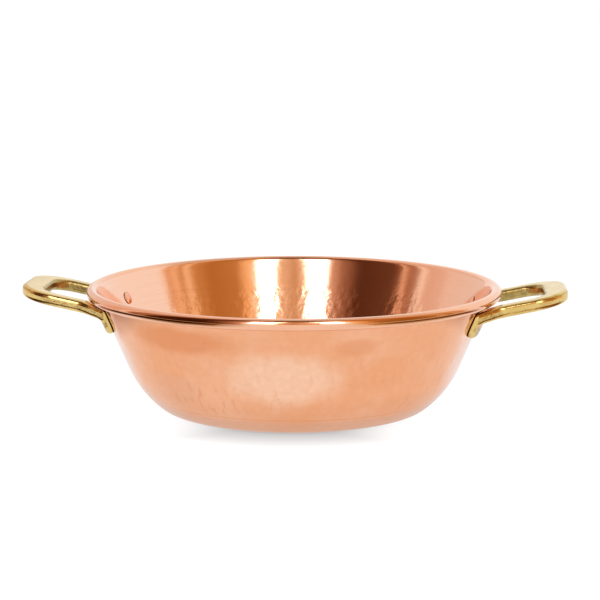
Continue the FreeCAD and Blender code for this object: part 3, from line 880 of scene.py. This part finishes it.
def copper_colour(tree, spot, own, lower, small, lines):
    here, inside = own["along"], own["inside"]
    outside = minus(tree, 1.0, inside)
    colour = blend(tree, clouds(tree, spot, *wide_clouds), copper_pink, copper_orange)
    colour = stained_and_sheened_wall(tree, spot, colour)
    # Below the crease: duller copper, and painted shade near the floor.
    colour = tinted(tree, lower, dull_and_shade_strength, colour, copper_dull)
    # Painted shade: a dark line along the crease.
    crease = close_to(tree, here, crease_along, 0.0, crease_shade_width)
    colour = tinted(tree, crease, crease_shade_strength, colour, copper_brown)
    colour = blend(tree, inside, colour, copper_inside)
    colour = darkened_rim(tree, spot, inside, colour)
    under_rim = remap(tree, here, along[-1] - seam_below, along[-1] - seam_full, 0.0, seam_strength)
    colour = tinted(tree, under_rim, falls(tree, inside, 0.0, 0.3), colour, copper_dark)
    # Painted reflection: the ridges between the hammer marks are darkened.
    colour = blend(tree, ridge_painted_reflection(tree, spot, own["ridge"], outside, small), colour, copper_brown)
    mottle_strength = calc(tree, "MULTIPLY_ADD", outside, mottle_outside, mottle_anywhere)
    colour = tinted(tree, clouds(tree, spot, *mottle_clouds), mottle_strength, colour, copper_brown)
    line_strength = calc(tree, "MULTIPLY_ADD", inside, line_inside, line_anywhere)
    colour = tinted(tree, remap(tree, lines, 0.45, 0.70), line_strength, colour, copper_dark)
    return tinted(tree, specks(tree, spot, speck_spacing, speck_size), speck_strength, colour, copper_dark)


# %% Copper
rough_inside, rough_outside = 0.085, 0.12
rough_dull, rough_clouds = 0.08, 0.03
smooth_along = along[-1] - 23.0 * MM
wave_scale, wave_left = 190.0, 0.25


def make_copper():
    material, tree, shader = new_material("polished_copper")
    spot = add(tree, "ShaderNodeTexCoord").outputs["Object"]
    own = {name: own_value(tree, name) for name in ("along", "turn", "inside", "ridge")}
    here, inside = own["along"], own["inside"]
    small = clouds(tree, spot, *small_clouds)
    lower = falls(tree, here, crease_along - dull_fade, crease_along)
    lines = use_group(tree, polish_group, {
        "Across": here, "Lengthwise": times(tree, own["turn"], lines_round),
        "Line width": line_width})["Height"]

    rough = remap(tree, inside, 0.0, 0.5, rough_outside, rough_inside, kind="LINEAR")
    rough = calc(tree, "MULTIPLY_ADD", small, rough_clouds, rough)
    low_outside = times(tree, lower, minus(tree, 1.0, inside))
    rough = calc(tree, "MULTIPLY_ADD", low_outside, rough_dull, rough)

    kept = remap(tree, here, smooth_along - dull_fade, smooth_along + dull_fade, 1.0, wave_left)
    waves = times(tree, noise(tree, spot, wave_scale, 2.0), kept)
    fine = relief(tree, lines, 0.07, 0.2 * MM)
    feed(tree, shader, {
        "Base Color": copper_colour(tree, spot, own, lower, small, lines), "Metallic": 1.0,
        "Roughness": rough, "Normal": relief(tree, waves, 0.22, 0.6 * MM, fine)})
    return material


copper = make_copper()
print("made", copper.name)

# %% [markdown]
# ## Brass
#
# The handles are cast in sand and then filed and polished. The casting leaves slow waves and
# fine grain, which show as an uneven edge on each reflection. Small pits of the sand stay in it.
# The faces round the finger gap are a dull olive, which is painted shade, and a dull olive line
# where the top of an arm turns over into its side is painted dark reflection. Both masks come from
# the way in which a face looks, which is simpler than painting them and follows the shape by itself.
# A dark line of painted shade follows the joint where each foot meets the pan.

# %% Values of the brass
brass_light = (0.87, 0.66, 0.27, 1)
brass_deep = (0.72, 0.50, 0.16, 1)
brass_olive = (0.260, 0.205, 0.075, 1)
brass_dark = (0.170, 0.125, 0.040, 1)
# A near black: grime in the rivets' end seams, and painted shade at the joints.
grime_and_shade = (0.030, 0.014, 0.006, 1)
cast_clouds = (16.0 * MM, 0.5)
grain_clouds = (4.0 * MM, 0.6)
loop_centre = 168.0 * MM
gap_full, gap_none = -12.0 * MM, -4.0 * MM
gap_shade_strength, gap_shade_uneven = 0.35, 0.5
# Where the painted dark reflection lies along the arms, and how strong it is:
edge_slope = 0.58
edge_width = 0.26
edge_reflection_strength, edge_reflection_uneven = 0.3, 0.6
pit_spacing, pit_size, pit_strength = 0.0022, 0.26, 0.75
crevice_reach = 0.9 * MM
brass_rough_least, brass_rough_most = 0.11, 0.20
brass_rough_gap, brass_rough_joint = 0.10, 0.5
cast_scale, grain_scale = 160.0, 900.0


# %% Masks of the brass
def toward_gap(tree, place, facing):
    """1 on faces that look into the finger gap.

    The distance that a face looks out from the middle of its loop is below zero there.
    """
    from_centre = minus(tree, calc(tree, "ABSOLUTE", place["X"]), loop_centre)
    outward = times(tree, times(tree, facing["X"], calc(tree, "SIGN", place["X"])), from_centre)
    outward = calc(tree, "MULTIPLY_ADD", facing["Y"], place["Y"], outward)
    return falls(tree, outward, gap_full, gap_none)


def by_wall(tree, spot):
    """1 in the joint between a foot and the sloping wall."""
    wall_slope = math.tan(wall_lean)
    return use_group(tree, crevice_group, {
        "Vector": spot, "Wall slope": wall_slope, "Reach": crevice_reach,
        "Wall radius": outer_face[-1][0] - outer_face[-1][1] * wall_slope})["Mask"]


# %% Brass
def make_brass():
    material, tree, shader = new_material("cast_brass")
    coordinates = add(tree, "ShaderNodeTexCoord").outputs
    spot = coordinates["Object"]
    facing = xyz(tree, coordinates["Normal"])
    small = clouds(tree, spot, *grain_clouds)
    in_gap = toward_gap(tree, xyz(tree, spot), facing)
    dark_edge_reflection = close_to(tree, facing["Z"], edge_slope, 0.0, edge_width)
    joint = by_wall(tree, spot)

    colour = blend(tree, clouds(tree, spot, *cast_clouds), brass_light, brass_deep)
    # Painted shade: dull olive on the faces round the finger gap.
    gap_shade_tone = calc(tree, "MULTIPLY_ADD", small, gap_shade_uneven, gap_shade_strength)
    colour = tinted(tree, in_gap, gap_shade_tone, colour, brass_olive)
    # Painted reflection: a dull olive line where the top of an arm turns over into its side.
    edge_reflection_tone = calc(tree, "MULTIPLY_ADD", small, edge_reflection_uneven, edge_reflection_strength)
    colour = tinted(tree, dark_edge_reflection, edge_reflection_tone, colour, brass_olive)
    colour = tinted(tree, specks(tree, spot, pit_spacing, pit_size), pit_strength, colour, brass_dark)

    rough = remap(tree, small, 0.0, 1.0, brass_rough_least, brass_rough_most, kind="LINEAR")
    rough = calc(tree, "MULTIPLY_ADD", in_gap, brass_rough_gap, rough)
    rough = calc(tree, "MULTIPLY_ADD", joint, brass_rough_joint, rough)

    waves = relief(tree, noise(tree, spot, cast_scale, 2.0, 0.6), 0.40, 0.7 * MM)
    grain = relief(tree, noise(tree, spot, grain_scale, 3.0, 0.65), 0.35, 0.14 * MM, waves)
    # Painted shade: the joint between each foot and the pan is darkened.
    feed(tree, shader, {"Base Color": blend(tree, joint, colour, grime_and_shade), "Metallic": 1.0,
                        "Roughness": rough, "Normal": grain})
    return material


brass = make_brass()
print("made", brass.name)

# %% [markdown]
# ## Copper of the rivets
#
# The rivets are softer copper, set by a hammer: a low head inside, and outside an end that is filed
# flush with the brass. Grime stays in the seam round each end, and round each head a dark ring of
# painted shade lies where the head meets the wall. The distance along the rivet's own section says
# where those seams are.

# %% Rivet copper
rivet_sheen = (0.900, 0.480, 0.310, 1)
rivet_clouds = (3.0 * MM, 0.6)
rivet_rough_least, rivet_rough_most = 0.17, 0.28
seam_width = 0.55 * MM


def make_rivet_copper(seams):
    material, tree, shader = new_material("rivet_copper")
    spot = add(tree, "ShaderNodeTexCoord").outputs["Object"]
    here = own_value(tree, "along")
    small = clouds(tree, spot, *rivet_clouds)
    colour = tinted(tree, small, 0.5, rivet_sheen, copper_orange)
    # The ring at each head is painted shade, and the ring at each end is grime.
    for seam in seams:
        colour = blend(tree, close_to(tree, here, seam, seam_width / 2, seam_width), colour, grime_and_shade)
    rough = remap(tree, small, 0.0, 1.0, rivet_rough_least, rivet_rough_most, kind="LINEAR")
    feed(tree, shader, {"Base Color": colour, "Metallic": 1.0, "Roughness": rough,
                        "Normal": relief(tree, small, 0.3, 0.2 * MM)})
    return material


# %% [markdown]
# ## Making the bowl
#
# The section goes in as a row of points, the tree spins and hammers it, and the result is turned
# into a plain mesh. After that nothing depends on the tree any more.
# The marks begin at the crease and end where the smooth band below the rim begins.

# %% Helpers for trees on objects
def give_tree(piece, group, values):
    """Put a Geometry Nodes tree on an object and set its inputs by their own identifiers."""
    modifier = piece.modifiers.new(group.name, "NODES")
    modifier.node_group = group
    for item in group.interface.items_tree:
        if item.item_type == "SOCKET" and item.in_out == "INPUT" and item.name in values:
            modifier[item.identifier] = values[item.name]


def settle(piece):
    """Turn what an object's modifiers make into its own plain mesh."""
    graph = bpy.context.evaluated_depsgraph_get()
    mesh = bpy.data.meshes.new_from_object(piece.evaluated_get(graph))
    piece.modifiers.clear()
    piece.data = mesh
    triangles = sum(len(face.vertices) - 2 for face in mesh.polygons)
    print(piece.name, len(mesh.vertices), "points,", triangles, "triangles")


# %% Bowl
bowl_mesh = bpy.data.meshes.new("hammered_bowl")
bowl_mesh.from_pydata([(radius, 0, height) for radius, height in section], [], [])
carry(bowl_mesh, "along", "FLOAT", section_along)
carry(bowl_mesh, "inside", "FLOAT", section_inside)
bowl = in_scene("hammered_bowl", bowl_mesh)
give_tree(bowl, hammer_group, {
    "Steps round": 660, "Marks round": 110, "Row height": 11.0 * MM, "Mark length": 1.5,
    "Mark lean": 0.10, "Mark depth": 0.05 * MM, "Stray": 0.38, "Seed": 3, "Fade": 6.0 * MM,
    "First mark": crease_along, "Last mark": smooth_along, "Metal": copper})
settle(bowl)
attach(bowl, "root")
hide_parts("bowl")

# %% [markdown]
# ## The rivets
#
# Four like rivets hold the handles. One rivet is a turned shape, so its section is spun by the same
# tree as the bowl's, and then set on four seats. Each seat is a point with an attribute that says
# which way the rivet points: straight out of the wall. Instances are light while the tree runs, and
# Realize Instances turns them into real mesh at the end, because the export needs that.

# %% Section of a rivet
shank_radius = 2.5 * MM
head_radius = 4.75 * MM
head_height = 1.4 * MM
head_edge = 0.4 * MM
sink_radius = 3.75 * MM
sink_depth = 1.2 * MM
foot_thickness = 4.5 * MM
edge_ease = 0.12 * MM
dome_steps = 8


def eased(points, ease):
    """Give each inner corner of a line a small flat, so that smooth shading stays sharp there."""
    result = [points[0]]
    for before, corner, after in zip(points, points[1:], points[2:]):
        for other in (before, after):
            reach = ease / math.dist(corner, other)
            result.append(tuple(c + (o - c) * reach for c, o in zip(corner, other)))
    return result + [points[-1]]


dome_rise = head_height - head_edge
dome_radius = (head_radius ** 2 + dome_rise ** 2) / (2 * dome_rise)
dome_centre = (0.0, dome_radius - sheet - head_height)
dome_half = math.asin(head_radius / dome_radius)
dome = on_arc(dome_centre, dome_radius, spread(-math.pi / 2, dome_half - math.pi / 2, dome_steps))
sink_start = foot_thickness - sink_depth
body_line = eased([dome[-1], (head_radius, -sheet), (shank_radius, -sheet), (shank_radius, sink_start),
                   (sink_radius, foot_thickness), (0.0, foot_thickness)], edge_ease)
rivet_section = dome + body_line[1:]
rivet_along = [0.0]
for before, after in zip(rivet_section, rivet_section[1:]):
    rivet_along.append(rivet_along[-1] + math.dist(before, after))
head_shade_seam = rivet_along[len(dome) - 1] + head_edge
end_seam = rivet_along[-1] - sink_radius
rivet_copper = make_rivet_copper([head_shade_seam, end_seam])
print("rivet", round((foot_thickness + sheet + head_height) / MM, 2), "mm long")

# %% Seats of the rivets
finger_width = 56.0 * MM
arm_width = 11.0 * MM
foot_spread = 11.6 * MM
foot_azimuth = math.degrees(math.asin(((finger_width + arm_width) / 2 + foot_spread) / rim_radius))
seat_azimuths = [side + turn for side in (-90.0, 90.0) for turn in (-foot_azimuth, foot_azimuth)]
rivet_nodes = sorted(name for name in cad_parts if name.startswith("rivet"))
rivet_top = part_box(rivet_nodes[0])[1][2]
seat_height = rivet_top - (sheet + head_edge) * math.sin(wall_lean) - head_radius * math.cos(wall_lean)
seats = [wall_point(azimuth, seat_height) for azimuth in seat_azimuths]
axes = [turned(azimuth, math.cos(wall_lean), -math.sin(wall_lean)) for azimuth in seat_azimuths]
print(len(seats), "seats", round(seat_height / MM, 2), "mm above the floor")


# %% Rivets tree
def make_rivet_group():
    tree, take, result = new_group("rivets_on_seats", "GeometryNodeTree",
        {"Section and seats": "Geometry", "Steps round": 48, "Metal": "Material"},
        {"Geometry": "Geometry"})
    split = add(tree, "GeometryNodeSeparateGeometry",
                {"Geometry": take[0], "Selection": named(tree, "seat", "BOOLEAN")}).outputs
    one = use_group(tree, spin_group, {"Section": split["Inverted"], "Steps round": take["Steps round"]})
    axis = named(tree, "axis", "FLOAT_VECTOR")
    facing = add(tree, "FunctionNodeAlignRotationToVector", {"Vector": axis}, axis="Z").outputs[0]
    placed = add(tree, "GeometryNodeInstanceOnPoints", {
        "Points": split["Selection"], "Instance": one["Geometry"], "Rotation": facing}).outputs[0]
    feed(tree, result, {"Geometry": finished(tree, placed, take["Metal"])})
    return tree


rivet_group = make_rivet_group()

# %% Rivets
rivet_mesh = bpy.data.meshes.new("rivets")
rivet_mesh.from_pydata([(radius, 0, height) for radius, height in rivet_section] + seats, [], [])
section_size = len(rivet_section)
flat_axes = [part for axis in axes for part in axis]
carry(rivet_mesh, "along", "FLOAT", rivet_along + [0.0] * len(seats))
carry(rivet_mesh, "seat", "BOOLEAN", [False] * section_size + [True] * len(seats))
carry(rivet_mesh, "axis", "FLOAT_VECTOR", [0.0] * 3 * section_size + flat_axes)
rivets = in_scene("rivets", rivet_mesh)
give_tree(rivets, rivet_group, {"Steps round": 48, "Metal": rivet_copper})
settle(rivets)
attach(rivets, "root")
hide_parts(*rivet_nodes)

# %% [markdown]
# ## The handles
#
# The handles' shape is right as it comes from CAD, so their nodes stay and only get the brass.

# %% Handles
for name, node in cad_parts.items():
    if name.startswith("handle"):
        node.material_slots[0].material = brass
        print(name, "in", brass.name)
